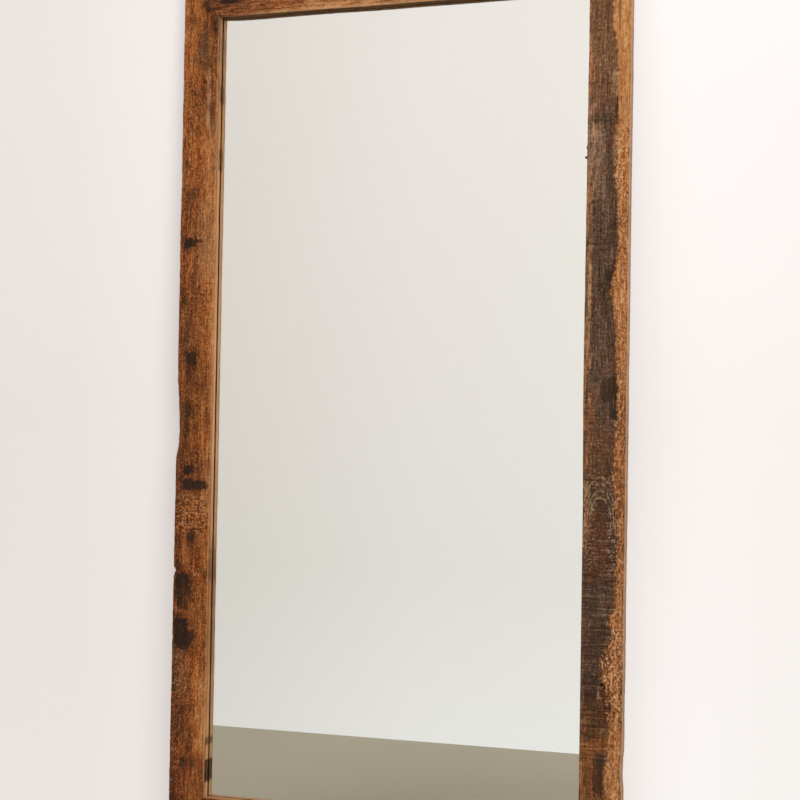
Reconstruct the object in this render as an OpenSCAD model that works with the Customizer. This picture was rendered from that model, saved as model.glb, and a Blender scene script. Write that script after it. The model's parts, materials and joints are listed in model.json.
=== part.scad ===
// Leaning floor mirror: a heavy glass mirror in a mitred frame of reclaimed timber.
// Millimetres. X runs across the face, Y points from the face towards the wall and Z is up.
// The origin is on the floor, under the middle of the overall width and depth.

/* [Timber frame] */
// Overall width across the two stiles
frame_w = 900; // [600:10:1200]
// Overall height, foot pads included
overall_h = 1690; // [1400:10:2000]
// Face width of the stiles and rails
member_w = 77; // [70:1:100]
// Thickness of the timber from front to back
member_t = 32; // [30:1:45]
// Depth of the front lip that the glass bears on
lip_d = 15; // [14:1:18]
// Width of the rebate behind the lip
rebate_w = 12; // [8:1:14]

/* [Glass and back] */
// Thickness of the mirror glass
glass_t = 5; // [4:1:6]
// Gap between the glass and the rebate at each side and at the top
glass_gap = 1.5; // [1:0.5:3]
// Thickness of the felt strips between the glass and the backing board
cushion_t = 3.2; // [2:0.1:4]
// Width of the felt strips
cushion_w = 10; // [6:1:14]

/* [Mitre splines] */
// Length of a spline along the mitre
spline_l = 60; // [40:2:64]
// Width of a spline across the mitre
spline_w = 36; // [20:2:36]
// Thickness of a spline
spline_t = 3.8; // [3:0.2:4]

/* [Corner braces] */
// Length of each arm of a brace, from the corner of its centre lines
brace_arm = 96; // [90:2:120]
// Width of a brace's arms
brace_w = 20; // [18:1:26]
// Thickness of the brace plate
brace_t = 2; // [1.5:0.5:3]

/* [Turn buttons] */
// Reach of a turn button from its screw to its tip
button_reach = 32; // [26:1:34]
// Thickness of a turn button
button_t = 2; // [1.5:0.5:3]
// Distance from the rebate's edge out to the button's screw
button_inset = 14; // [10:1:18]

/* [Hangers] */
// Distance from the top of the frame down to the D-rings' bars
hanger_drop = 240; // [180:10:300]
// Radius of the wire of a D-ring
wire_r = 1.5; // [1.2:0.1:1.6]
// Radius of a D-ring's round end, to the middle of the wire
bow_r = 12; // [11:0.5:14]
// Length of a hanger strap below the D-ring's bar
strap_l = 54; // [50:1:60]

/* [Feet and bumpers] */
// Thickness of the foot pads
pad_t = 3; // [2:0.5:5]
// Thickness of the wall bumpers
bumper_t = 7; // [7:0.5:12]
// Radius of the wall bumpers
bumper_r = 11; // [10:0.5:14]

/* [Hidden] */
$fn = 48;
eps = 0.01;
// A cutter runs this far past the surface that it cuts.
cut = 1;

frame_h = overall_h - pad_t;
mid_z = pad_t + frame_h / 2;
back_w = member_w - rebate_w;
front_y = -(member_t + bumper_t) / 2;
back_y = front_y + member_t;

// The pocket is the space inside the rebate, and the sight is what shows of the glass.
pocket_w = frame_w - 2 * back_w;
pocket_h = frame_h - 2 * back_w;
pocket_z = pad_t + back_w;
silver_t = 0.3;
block_t = 3;
glass_w = pocket_w - 2 * glass_gap;
glass_h = pocket_h - block_t - glass_gap;
glass_z = pocket_z + block_t;
glass_y = front_y + lip_d;
silver_y = glass_y + glass_t;
cushion_y = silver_y + silver_t;
board_gap = 1;
board_proud = 0.5;
board_y = cushion_y + cushion_t;
board_t = back_y + board_proud - board_y;
block_l = 80;

// Splines lie in blind slots across the mitres, part of the way through the lip.
spline_depth = 9;
slot_t = 4;
slot_gap = 0.1;

// Wood screws: the shank clears its pilot hole by this much.
screw_gap = 0.05;
// A pilot hole goes this much deeper than its screw.
pilot_extra = 1;
shank_r = 1.75;
head_r = 3.2;
head_h = 1.5;
head_hole_gap = 0.1;
brace_screw_l = 16;
strap_screw_l = 18;
bumper_screw_l = 14;
tip_l = 4;
tip_r = 0.3;
recess_w = 0.8;
recess_l = 4;
recess_d = 1;
brace_holes = [36, 80];

button_hub_r = 7;
button_tip_r = 4.5;
washer_t = 0.6;
washer_r = 5;
play = 0.1;
pivot_r = 2;
pivot_head_r = 4;
pivot_head_h = 2.2;
pivot_l = 16;
button_low_z = 300;
button_top_drop = 400;
button_high_z = overall_h - button_top_drop;
button_side_x = frame_w / 2 - back_w + button_inset;

// Each entry is a turn button's x and z, and the way its arm points when it holds the board.
BUTTONS = [
    for (side = [-1, 1])
        for (z = [button_low_z, mid_z, button_high_z])
            [side * button_side_x, z, side < 0 ? 0 : 180],
    [0, overall_h - back_w + button_inset, 90],
    [0, pocket_z - button_inset, -90]
];

strap_w = 16;
strap_t = 1.6;
strap_holes = [30, 46];
wire_gap = 0.1;
wire_lift = 0.5;
knuckle_r = wire_r + wire_gap + strap_t;
ring_y = strap_t + wire_r + wire_lift;
ring_corner_r = 3;
ring_side_l = 5;
hanger_x = frame_w / 2 - back_w / 2;
hanger_z = overall_h - hanger_drop;

pad_l = 70;
pad_margin = 2;
pad_w = member_t - 2 * pad_margin;
pad_inset = 120;
pad_x = frame_w / 2 - pad_inset;
bumper_inset = 170;
bumper_x = frame_w / 2 - bumper_inset;
bumper_z = overall_h - back_w / 2;
bumper_seat_t = 2.5;

// ---- Placing ----

// Puts its children at one corner of the frame. They are drawn for the bottom right corner,
// with the origin at the frame's outer corner, and are mirrored for the others.
module at_corner(left, top) {
    translate([0, 0, mid_z])
        mirror([0, 0, top ? 1 : 0])
        mirror([left ? 1 : 0, 0, 0])
        translate([frame_w / 2, 0, -frame_h / 2])
        children();
}

module at_every_corner() {
    for (left = [false, true])
        for (top = [false, true])
            at_corner(left, top) children();
}

// Puts its children on the back of the frame, their own +Z pointing out of it.
module on_back(x, z, lift = 0) {
    translate([x, back_y + lift, z]) rotate([-90, 0, 0]) children();
}

module at_brace_holes() {
    for (d = brace_holes) {
        translate([-d, 0, 0]) children();
        translate([0, -d, 0]) children();
    }
}

module at_strap_holes() {
    for (d = strap_holes)
        translate([0, d, 0]) children();
}

// ---- Fasteners ----

module cross_recess(top) {
    for (turn = [0, 90])
        translate([0, 0, top - recess_d / 2 + eps])
            rotate([0, 0, turn])
            cube([recess_l, recess_w, recess_d], center = true);
}

// A countersunk wood screw with the top of its head at z = 0.
module wood_screw(length) {
    difference() {
        union() {
            translate([0, 0, -head_h]) cylinder(h = head_h, r1 = shank_r, r2 = head_r);
            translate([0, 0, tip_l - length]) cylinder(h = length - tip_l - head_h, r = shank_r);
            translate([0, 0, -length]) cylinder(h = tip_l, r1 = tip_r, r2 = shank_r);
        }
        cross_recess(0);
    }
}

// The clearance hole of a countersunk screw, through a plate whose top is at z = 0.
module screw_hole(plate_t) {
    translate([0, 0, -plate_t - cut])
        cylinder(h = plate_t + 2 * cut, r = shank_r + head_hole_gap);
    translate([0, 0, -head_h])
        cylinder(h = head_h + eps, r1 = shank_r + head_hole_gap, r2 = head_r + head_hole_gap);
}

// A blind hole for a shank, below a surface at z = 0.
module pilot_hole(depth, r = shank_r) {
    translate([0, 0, -depth]) cylinder(h = depth + cut, r = r + screw_gap);
}

// The round-headed screw that a turn button swings on. The timber's face is at z = 0.
module pivot_screw() {
    head_z = washer_t + button_t + 2 * play;
    difference() {
        union() {
            translate([0, 0, head_z]) cylinder(h = pivot_head_h, r = pivot_head_r);
            translate([0, 0, tip_l - pivot_l])
                cylinder(h = pivot_l - tip_l + head_z, r = pivot_r);
            translate([0, 0, -pivot_l]) cylinder(h = tip_l, r1 = tip_r, r2 = pivot_r);
        }
        cross_recess(head_z + pivot_head_h);
    }
}

// Every blind hole in the back of the frame.
module back_pilots() {
    at_every_corner()
        translate([-back_w / 2, back_y, back_w / 2])
        rotate([-90, 0, 0])
        at_brace_holes() pilot_hole(brace_screw_l - brace_t + pilot_extra);
    for (b = BUTTONS)
        on_back(b[0], b[1]) pilot_hole(pivot_l + pilot_extra, pivot_r);
    for (side = [-1, 1]) {
        on_back(side * hanger_x, hanger_z)
            at_strap_holes() pilot_hole(strap_screw_l - strap_t + pilot_extra);
        on_back(side * bumper_x, bumper_z)
            pilot_hole(bumper_screw_l - bumper_seat_t + pilot_extra);
    }
}

// ---- Timber ----

// Cross-section of a member: x from its outer edge, y from its face.
module member_profile() {
    polygon([
        [0, 0], [member_w, 0], [member_w, lip_d], [back_w, lip_d],
        [back_w, member_t], [0, member_t]
    ]);
}

// A member standing along z, its outer edge on x = 0, with a mitre at each end.
module mitred_member(length) {
    intersection() {
        linear_extrude(length) member_profile();
        translate([0, member_t + cut, 0])
            rotate([90, 0, 0])
            linear_extrude(member_t + 2 * cut)
            polygon([
                [-eps, -eps], [member_w + cut, member_w + cut],
                [member_w + cut, length - member_w - cut], [-eps, length + eps]
            ]);
    }
}

// A flat plate across a mitre, drawn for the bottom right corner.
module mitre_plate(length, width, thickness) {
    translate([-member_w / 2, front_y + spline_depth + slot_t / 2, member_w / 2])
        rotate([0, 45, 0])
        cube([length, thickness, width], center = true);
}

module finished_member() {
    color("saddlebrown")
        difference() {
            children();
            back_pilots();
            at_every_corner()
                mitre_plate(spline_l + 2 * slot_gap, spline_w + 2 * slot_gap, slot_t);
        }
}

module left_stile() {
    finished_member()
        translate([-frame_w / 2, front_y, pad_t]) mitred_member(frame_h);
}

module right_stile() {
    finished_member()
        mirror([1, 0, 0])
        translate([-frame_w / 2, front_y, pad_t]) mitred_member(frame_h);
}

module top_rail() {
    finished_member()
        translate([-frame_w / 2, front_y, overall_h])
        rotate([0, 90, 0])
        mitred_member(frame_w);
}

module bottom_rail() {
    finished_member()
        translate([-frame_w / 2, front_y, pad_t])
        mirror([0, 0, 1])
        rotate([0, 90, 0])
        mitred_member(frame_w);
}

module mitre_spline(left, top) {
    color("tan") at_corner(left, top) mitre_plate(spline_l, spline_w, spline_t);
}

// ---- Corner braces ----

module brace_plate() {
    difference() {
        linear_extrude(brace_t) {
            circle(r = brace_w / 2);
            for (turn = [180, 270])
                rotate(turn) {
                    translate([0, -brace_w / 2]) square([brace_arm - brace_w / 2, brace_w]);
                    translate([brace_arm - brace_w / 2, 0]) circle(r = brace_w / 2);
                }
        }
        translate([0, 0, brace_t]) at_brace_holes() screw_hole(brace_t);
    }
}

module corner_brace(left, top) {
    color("dimgray")
        at_corner(left, top)
        translate([-back_w / 2, back_y, back_w / 2])
        rotate([-90, 0, 0])
        brace_plate();
}

module corner_brace_screws() {
    color("silver")
        at_every_corner()
        translate([-back_w / 2, back_y + brace_t, back_w / 2])
        rotate([-90, 0, 0])
        at_brace_holes() wood_screw(brace_screw_l);
}

// ---- Glass and back ----

module pane(thickness, y) {
    translate([-glass_w / 2, y, glass_z]) cube([glass_w, thickness, glass_h]);
}

module mirror_glass() {
    color("lightcyan", 0.4) pane(glass_t, glass_y);
}

module mirror_silvering() {
    color("gainsboro") pane(silver_t, silver_y);
}

module glass_setting_blocks() {
    color("black")
        for (side = [-1, 1])
            translate([side * glass_w / 4 - block_l / 2, glass_y, pocket_z])
                cube([block_l, glass_t, block_t]);
}

module cushion_strip_side(side) {
    color("darkslategray")
        translate([side * (glass_w - cushion_w) / 2 - cushion_w / 2, cushion_y, glass_z + cushion_w])
        cube([cushion_w, cushion_t, glass_h - 2 * cushion_w]);
}

module cushion_strip_end(z) {
    color("darkslategray")
        translate([-glass_w / 2, cushion_y, z]) cube([glass_w, cushion_t, cushion_w]);
}

module backing_board() {
    color("burlywood")
        translate([-pocket_w / 2 + board_gap, board_y, pocket_z + board_gap])
        cube([pocket_w - 2 * board_gap, board_t, pocket_h - 2 * board_gap]);
}

// ---- Turn buttons ----

// Outline of a turn button: a round hub at the origin, and an arm with a round tip.
module button_outline() {
    tip_x = button_reach - button_tip_r;
    circle(r = button_hub_r);
    translate([0, -button_tip_r]) square([tip_x, 2 * button_tip_r]);
    translate([tip_x, 0]) circle(r = button_tip_r);
}

module turn_button(index) {
    place = BUTTONS[index];
    color("silver")
        on_back(place[0], place[1], washer_t + play)
        rotate([0, 0, place[2]])
        difference() {
            linear_extrude(button_t) button_outline();
            translate([0, 0, -cut])
                cylinder(h = button_t + 2 * cut, r = pivot_r + screw_gap);
        }
}

module turn_button_washers() {
    color("silver")
        for (b = BUTTONS)
            on_back(b[0], b[1])
                difference() {
                    cylinder(h = washer_t, r = washer_r);
                    translate([0, 0, -cut])
                        cylinder(h = washer_t + 2 * cut, r = pivot_r + screw_gap);
                }
}

module turn_button_screws() {
    color("silver")
        for (b = BUTTONS)
            on_back(b[0], b[1]) pivot_screw();
}

// ---- Hangers ----

// Strap of a hanger: its back on z = 0, its knuckle along x and its tail towards +y.
module hanger_strap() {
    difference() {
        union() {
            translate([-strap_w / 2, 0, 0]) cube([strap_w, strap_l - strap_w / 2, strap_t]);
            translate([0, strap_l - strap_w / 2, 0]) cylinder(h = strap_t, r = strap_w / 2);
            translate([0, 0, ring_y])
                rotate([0, 90, 0])
                cylinder(h = strap_w, r = knuckle_r, center = true);
        }
        translate([0, 0, ring_y])
            rotate([0, 90, 0])
            cylinder(h = strap_w + 2 * cut, r = wire_r + wire_gap, center = true);
        translate([0, 0, strap_t]) at_strap_holes() screw_hole(strap_t);
    }
}

module hanger_strap_at(side) {
    color("silver") on_back(side * hanger_x, hanger_z) hanger_strap();
}

// A D-ring in the plane z = 0, its straight bar on the x axis and its round end towards +y.
module ring_wire() {
    bar_half = bow_r - ring_corner_r;
    rotate([0, 90, 0]) cylinder(h = 2 * bar_half, r = wire_r, center = true);
    for (side = [0, 1])
        mirror([side, 0, 0]) {
            translate([bar_half, ring_corner_r, 0])
                rotate([0, 0, -90])
                rotate_extrude(angle = 90)
                translate([ring_corner_r, 0]) circle(r = wire_r);
            translate([bow_r, ring_corner_r, 0])
                rotate([-90, 0, 0])
                cylinder(h = ring_side_l, r = wire_r);
        }
    translate([0, ring_corner_r + ring_side_l, 0])
        rotate_extrude(angle = 180)
        translate([bow_r, 0]) circle(r = wire_r);
}

module d_ring(side) {
    color("silver") on_back(side * hanger_x, hanger_z, ring_y) ring_wire();
}

module hanger_screws() {
    color("silver")
        for (side = [-1, 1])
            on_back(side * hanger_x, hanger_z, strap_t)
                at_strap_holes() wood_screw(strap_screw_l);
}

// ---- Feet and bumpers ----

module foot_pad(side) {
    color("black")
        translate([side * pad_x - pad_l / 2, front_y + pad_margin, 0])
        cube([pad_l, pad_w, pad_t]);
}

module wall_bumper(side) {
    color("black")
        on_back(side * bumper_x, bumper_z)
        difference() {
            cylinder(h = bumper_t, r = bumper_r);
            translate([0, 0, bumper_seat_t]) screw_hole(bumper_seat_t);
            translate([0, 0, bumper_seat_t])
                cylinder(h = bumper_t, r = head_r + 2 * head_hole_gap);
        }
}

module wall_bumper_screws() {
    color("silver")
        for (side = [-1, 1])
            on_back(side * bumper_x, bumper_z, bumper_seat_t) wood_screw(bumper_screw_l);
}

// ---- Nodes ----

left_stile();
right_stile();
top_rail();
bottom_rail();
mitre_spline(true, true);  // mitre_spline_top_left
mitre_spline(false, true);  // mitre_spline_top_right
mitre_spline(true, false);  // mitre_spline_bottom_left
mitre_spline(false, false);  // mitre_spline_bottom_right
corner_brace(true, true);  // corner_brace_top_left
corner_brace(false, true);  // corner_brace_top_right
corner_brace(true, false);  // corner_brace_bottom_left
corner_brace(false, false);  // corner_brace_bottom_right
corner_brace_screws();
mirror_glass();
mirror_silvering();
glass_setting_blocks();
cushion_strip_side(-1);  // cushion_strip_left
cushion_strip_side(1);  // cushion_strip_right
cushion_strip_end(glass_z + glass_h - cushion_w);  // cushion_strip_top
cushion_strip_end(glass_z);  // cushion_strip_bottom
backing_board();
turn_button(0);  // turn_button_left_low
turn_button(1);  // turn_button_left_mid
turn_button(2);  // turn_button_left_high
turn_button(3);  // turn_button_right_low
turn_button(4);  // turn_button_right_mid
turn_button(5);  // turn_button_right_high
turn_button(6);  // turn_button_top
turn_button(7);  // turn_button_bottom
turn_button_washers();
turn_button_screws();
hanger_strap_at(-1);  // hanger_strap_left
hanger_strap_at(1);  // hanger_strap_right
d_ring(-1);  // d_ring_left
d_ring(1);  // d_ring_right
hanger_screws();
foot_pad(-1);  // foot_pad_left
foot_pad(1);  // foot_pad_right
wall_bumper(-1);  // wall_bumper_left
wall_bumper(1);  // wall_bumper_right
wall_bumper_screws();
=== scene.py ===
"""A leaning floor mirror in a frame of reclaimed timber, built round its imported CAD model.

Lengths on the boards are in millimetres until the meshes are made, everything else is in metres.
Each board has its own coordinates: along, from one end of its outer edge; inward, from the outer
edge towards the opening; and deep, from the front face towards the wall.
"""

import json
import math

import bpy
import numpy as np
from mathutils import Matrix, Vector


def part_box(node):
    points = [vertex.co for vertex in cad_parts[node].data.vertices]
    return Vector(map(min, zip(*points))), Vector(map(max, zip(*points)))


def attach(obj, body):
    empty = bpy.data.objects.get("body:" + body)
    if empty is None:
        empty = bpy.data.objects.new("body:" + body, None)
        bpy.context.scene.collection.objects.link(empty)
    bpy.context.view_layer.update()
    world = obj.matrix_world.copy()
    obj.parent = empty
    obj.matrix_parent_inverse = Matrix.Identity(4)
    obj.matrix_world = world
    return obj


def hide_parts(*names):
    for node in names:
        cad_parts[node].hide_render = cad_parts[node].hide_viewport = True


MM = 0.001
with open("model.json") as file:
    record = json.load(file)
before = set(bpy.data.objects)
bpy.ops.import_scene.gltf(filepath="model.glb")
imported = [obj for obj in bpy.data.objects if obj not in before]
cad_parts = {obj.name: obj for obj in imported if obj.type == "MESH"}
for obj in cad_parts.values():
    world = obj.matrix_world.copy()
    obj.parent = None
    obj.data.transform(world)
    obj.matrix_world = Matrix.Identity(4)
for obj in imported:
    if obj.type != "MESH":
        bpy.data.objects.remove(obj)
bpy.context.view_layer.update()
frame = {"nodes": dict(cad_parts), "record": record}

# ---------------------------------------------------------------- sizes read from the CAD model

STILE_LOW, STILE_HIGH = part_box("left_stile")
GLASS_LOW, GLASS_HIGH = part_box("mirror_glass")
TOP_RAIL_LOW, TOP_RAIL_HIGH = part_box("top_rail")
SILVER_LOW, SILVER_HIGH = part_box("mirror_silvering")

FACE_W = (STILE_HIGH.x - STILE_LOW.x) / MM  # the width of every board
BOARD_T = (STILE_HIGH.y - STILE_LOW.y) / MM  # the thickness of every board
LIP_T = (GLASS_LOW.y - STILE_LOW.y) / MM  # the lip in front of the glass
REBATE_W = 12.0  # how far the rebate is cut back from the opening
FRONT_Y = STILE_LOW.y
FRAME_FOOT = STILE_LOW.z / MM  # the boards stand this far above the floor, on their pads

# ---------------------------------------------------------------- noise


def lattice(column, row, seed):
    """A steady value from 0 to 1 for each whole-numbered point."""
    mixed = (column * 374761393 + row * 668265263 + seed * 97471171) & 0xFFFFFFFF
    mixed = ((mixed ^ (mixed >> 13)) * 1274126177) & 0xFFFFFFFF
    return (mixed ^ (mixed >> 16)) / 0xFFFFFFFF


def noise(x, y, seed):
    """Smooth noise from -1 to 1, with one lump for each unit of x and y."""
    x, y = np.broadcast_arrays(np.asarray(x, float), np.asarray(y, float))
    column = np.floor(x).astype(np.int64)
    row = np.floor(y).astype(np.int64)
    across = x - column
    up = y - row
    across = across * across * (3 - 2 * across)
    up = up * up * (3 - 2 * up)
    low = lattice(column, row, seed) * (1 - across) + lattice(column + 1, row, seed) * across
    high = lattice(column, row + 1, seed) * (1 - across) + lattice(column + 1, row + 1, seed) * across
    return 2 * (low * (1 - up) + high * up) - 1


def layered(x, y, seed, layers=3):
    """Noise with finer and weaker layers on top of the first."""
    total = 0
    for layer in range(layers):
        total = total + noise(x * 2**layer, y * 2**layer, seed + 17 * layer) / 2**layer
    return total / (2 - 2 ** (1 - layers))


def smooth(low, high, value):
    """Rises from 0 at low to 1 at high; low may be the larger."""
    share = np.clip((value - low) / (high - low), 0, 1)
    return share * share * (3 - 2 * share)


def band(value, low, high, soft):
    """1 between low and high, fading to 0 over soft on both sides."""
    return smooth(low - soft, low, value) * smooth(high + soft, high, value)


# ---------------------------------------------------------------- marks on the boards
# A mark is (height above the floor, distance from the outer edge, half height, half width, strength).

# Brown and black stains round old nails.
LEFT_STAINS = [
    (1633, 53, 9, 9, 0.8), (1600, 70, 15, 9, 0.5), (1262, 26, 9, 13, 0.5), (1272, 33, 4, 9, 0.5),
    (1232, 18, 18, 9, 0.45), (1166, 22, 9, 11, 1.0), (1170, 41, 3, 9, 0.75),
    (937, 28, 13, 12, 0.9), (912, 26, 18, 6, 0.55), (836, 25, 13, 8, 0.6), (800, 20, 14, 7, 0.35),
    (717, 26, 10, 9, 1.0), (717, 42, 6, 10, 0.6), (690, 28, 12, 12, 1.0), (688, 50, 9, 16, 0.95),
    (686, 65, 5, 7, 0.85), (617, 28, 4, 4, 0.6), (586, 36, 10, 8, 0.85), (572, 31, 5, 5, 0.5),
    (527, 8, 12, 6, 0.6), (514, 69, 9, 4, 0.6), (500, 20, 15, 16, 1.0), (482, 25, 14, 14, 0.85),
    (458, 22, 14, 11, 0.75), (407, 18, 22, 14, 1.0), (386, 23, 18, 18, 1.0),
    (392, 40, 13, 7, 0.75), (145, 29, 9, 6, 0.55), (146, 50, 10, 3, 0.5),
]
# Weathered grey patches.
LEFT_GREYED = [
    (1602, 22, 12, 10, 0.5), (1590, 45, 14, 6, 0.45), (1560, 44, 21, 15, 1.2),
    (1530, 27, 12, 6, 0.6), (1526, 52, 18, 12, 0.6), (1412, 65, 34, 6, 0.9),
    (1420, 49, 26, 3, 0.7), (1050, 22, 55, 9, 0.35), (1055, 42, 20, 9, 0.4),
    (990, 25, 30, 14, 0.3), (800, 9, 70, 6, 0.6), (700, 8, 50, 7, 0.35), (330, 16, 48, 20, 0.55),
    (240, 30, 55, 16, 0.25), (120, 45, 30, 30, 0.35),
]
# Patches worn or bleached pale.
LEFT_PALE = [
    (1470, 57, 34, 5, 0.65), (1412, 56, 18, 4, 0.9), (1170, 58, 80, 18, 0.3),
    (1340, 62, 60, 14, 0.25), (700, 66, 60, 8, 0.2), (513, 50, 2, 6, 0.7), (240, 68, 62, 9, 0.22),
]
# Soft areas: the last value makes the wood lighter, or darker when it is below 0.
LEFT_SHADES = [
    (1500, 38, 50, 12, -0.30), (1200, 52, 130, 20, -0.20), (1200, 14, 50, 12, 0.20),
    (900, 14, 40, 12, 0.20), (805, 14, 45, 12, -0.28), (805, 62, 45, 8, 0.32),
    (445, 52, 85, 24, -0.24), (200, 38, 50, 12, -0.34), (240, 66, 60, 11, 0.40),
]
# How far the outer edge is missing, as points of (height, depth).
LEFT_WANE = [
    (940, 0), (895, 1.0), (862, 3.8), (820, 5.6), (790, 6.6), (762, 4.6), (742, 0), (528, 0),
    (520, 4), (508, 0),
]
# How light the worn end of the lip is, as points of (height, strength).
LEFT_LIP_LIGHT = [
    (1568, 0.72), (1448, 0.70), (1309, 1.05), (1112, 1.05), (915, 1.30), (719, 1.20), (600, 0.90),
    (523, 0.50), (328, 0.70), (172, 1.10),
]
# Darker stretches on the end of the lip: (from height, to height, deeper than, strength).
LEFT_LIP_DARK = [
    (1448, 1474, 8, 0.55), (1313, 1349, 8, 0.60), (505, 560, 0.5, 0.35), (184, 193, 0.5, 0.70),
    (112, 150, 0.5, 0.95),
]

# The right board's lists mean the same as the left board's, with a few of its own.
# How far the honey wood reaches in from the outer edge, as points of (height, width).
RIGHT_HONEY_EDGE = [
    (1690, 30), (1590, 32), (1560, 33), (1540, 30), (1505, 23), (1420, 22), (1395, 19), (1360, 23),
    (1270, 24), (1240, 20), (1140, 18), (1100, 23), (1085, 27), (1058, 32), (1040, 27), (1010, 22),
    (960, 20), (900, 15), (830, 15), (760, 19), (720, 20), (680, 17), (600, 12), (520, 14),
    (480, 17), (468, 26), (418, 24), (396, 38), (372, 36), (350, 31), (325, 27), (300, 26),
    (270, 22), (220, 24), (185, 30), (140, 25), (0, 22),
]
RIGHT_STAINS = [
    (1375, 50, 8, 20, 0.4), (1080, 29, 16, 8, 0.75), (1392, 24, 8, 4, 0.7), (880, 30, 22, 16, 0.7),
    (842, 22, 14, 8, 0.8), (833, 17, 6, 5, 0.8), (500, 60, 60, 14, 0.35), (430, 55, 36, 18, 0.4),
    (331, 35, 6, 6.5, 0.55), (340, 60, 40, 10, 0.4), (185, 42, 36, 9, 0.75),
]
RIGHT_PALE = [
    (1440, 26, 24, 6, 0.5), (1455, 25, 4, 6, 0.8), (1310, 27, 22, 3, 0.4), (1268, 24, 4, 4, 1.0),
    (1065, 69, 52, 3, 0.8), (980, 71, 30, 3, 0.5), (820, 18, 5, 3, 1.0), (800, 17, 5, 3, 1.0),
    (700, 69, 12, 5, 0.4), (628, 72, 9, 4, 0.7), (634, 18, 4, 4, 0.8), (607, 30, 2, 22, 0.4),
    (430, 12, 9, 3, 0.9), (343.5, 41, 1.1, 5.5, 0.9), (331, 43, 6, 1.0, 0.9),
    (324.5, 40, 1.1, 4, 0.8), (367, 52, 2, 2, 0.6),
]
NAIL_HOLE = (348, 37)  # height and distance from the outer edge
# Reddened patches of the dark face.
RIGHT_REDDENED = [
    (285, 50, 34, 40, 0.45), (240, 48, 14, 34, 0.95), (195, 62, 50, 22, 0.85),
    (165, 40, 30, 30, 0.5), (120, 50, 30, 40, 0.7), (1520, 50, 110, 30, 0.35),
    (1400, 30, 60, 6, 0.3), (790, 64, 80, 12, 0.35), (760, 40, 50, 30, 0.25),
    (600, 52, 60, 22, 0.3), (331, 35, 7, 7, 0.6),
]
RIGHT_WANE = [(232, 0), (216, 1.6), (180, 2.0), (160, 0)]
RIGHT_SHADES = [
    (1300, 61, 50, 11, 0.30), (1100, 38, 50, 12, -0.28), (700, 12, 60, 12, 0.30),
    (600, 38, 50, 12, -0.30), (500, 12, 60, 12, 0.35), (300, 38, 45, 12, -0.40),
    (300, 61, 45, 11, -0.28), (200, 12, 45, 12, 0.25), (200, 38, 45, 12, 0.25),
]
# How far the end of the lip stands out into the opening, as points of (height, amount).
RIGHT_SWELL = [(120, -0.8), (220, -1.4), (600, -1.8), (700, 0.2), (860, 2.0), (1280, 0.8), (1500, -0.2)]
# Splinters on the end of the lip: (height, reach, half height).
RIGHT_SPLINTERS = [(1322, 2.6, 2.2), (1304, 5.6, 3.4)]
RIGHT_LIP_DARK = [(1296, 1328, -1, 1.6)]
# Dark lines scored across the board: (height, strength).
RIGHT_SCORES = [(1438, 0.4), (1370, 0.7), (1145, 0.5), (832, 0.3), (715, 0.9), (565, 0.6), (272, 0.6)]

# On a rail the first two values of a stain are (height, distance from the left end).
BOTTOM_STAINS = [(30, 210, 12, 24, 0.8), (52, 470, 9, 30, 0.7), (24, 640, 14, 12, 0.9)]
TOP_STAINS = [
    (1643, 98, 5, 18, 1.0), (1658, 112, 8, 30, 0.8), (1680, 120, 9, 18, 0.6),
    (1650, 395, 14, 12, 0.9), (1668, 700, 10, 26, 0.7),
]
# On a rail the first two values of a soft area are (distance from the left end, from the outer edge).
RAIL_SHADES = [
    (90, 52, 34, 30, -0.50), (240, 60, 40, 20, 0.25), (330, 62, 50, 16, 0.75),
    (460, 62, 60, 16, 0.50),
]
# As RIGHT_SWELL, in points of (distance from the left end, amount).
TOP_SWELL = [(0, 0.8), (160, 2.0), (240, 0.9), (320, 1.0), (400, 1.9), (490, 1.2), (900, 0.8)]

BLOCKY = 3.5  # 2 would make round marks; more makes them squarer
FADE_ALONG = 30  # a soft area fades out over this much along the board
FADE_ACROSS = 8  # and over this much across it


def spots(along, inward, marks, seed):
    """How strongly each point of a board lies in a list of ragged, blocky marks."""
    ragged = 0.32 * layered(inward / 5.0, along / 6.0, seed)
    ragged = ragged + 0.18 * noise(inward / 1.9, along / 2.8, seed + 5)
    shade = np.zeros_like(ragged)
    for height, across, half_height, half_width, strength in marks:
        up = np.abs((along - height) / half_height)
        aside = np.abs((inward - across) / half_width)
        reach = (up**BLOCKY + aside**BLOCKY) ** (1 / BLOCKY)
        spot = smooth(1.18, 0.88, reach + ragged) * strength
        shade = np.maximum(shade, np.where(up < 1.8, spot, 0))
    return shade


def shading(along, inward, marks):
    """Soft lighter and darker areas of a board, added up."""
    total = np.zeros(np.broadcast(along, inward).shape)
    for height, across, half_height, half_width, change in marks:
        up = band(along, height - half_height, height + half_height, FADE_ALONG)
        aside = band(inward, across - half_width, across + half_width, FADE_ACROSS)
        total = total + change * up * aside
    return total


def haloes(marks):
    """The same marks with a wider and weaker reach, for the brown rim round a black stain."""
    rims = []
    for height, across, tall, wide, much in marks:
        rims.append((height, across, tall * 1.35 + 3, wide * 1.3 + 2, much * 0.5))
    return rims


def level_at(points, along):
    """The value at each place along a board, from points of (place, value)."""
    places, values = zip(*sorted(points))
    return np.interp(along, places, values)


# ---------------------------------------------------------------- the boards' grain and wear


def streaks(along, inward, seed):
    """Long fine lines along the grain, from about -1 to 1."""
    drift = 2.5 * noise(0.0, along / 160.0, seed) + 0.8 * noise(inward / 30.0, along / 45.0, seed + 1)
    line = inward + drift
    fine = noise(line / 1.8, along / 34.0, seed + 2) * 0.7 + noise(line / 3.6, along / 80.0, seed + 3) * 0.7
    return fine + noise(line / 9.0, along / 200.0, seed + 4) * 0.5


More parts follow.
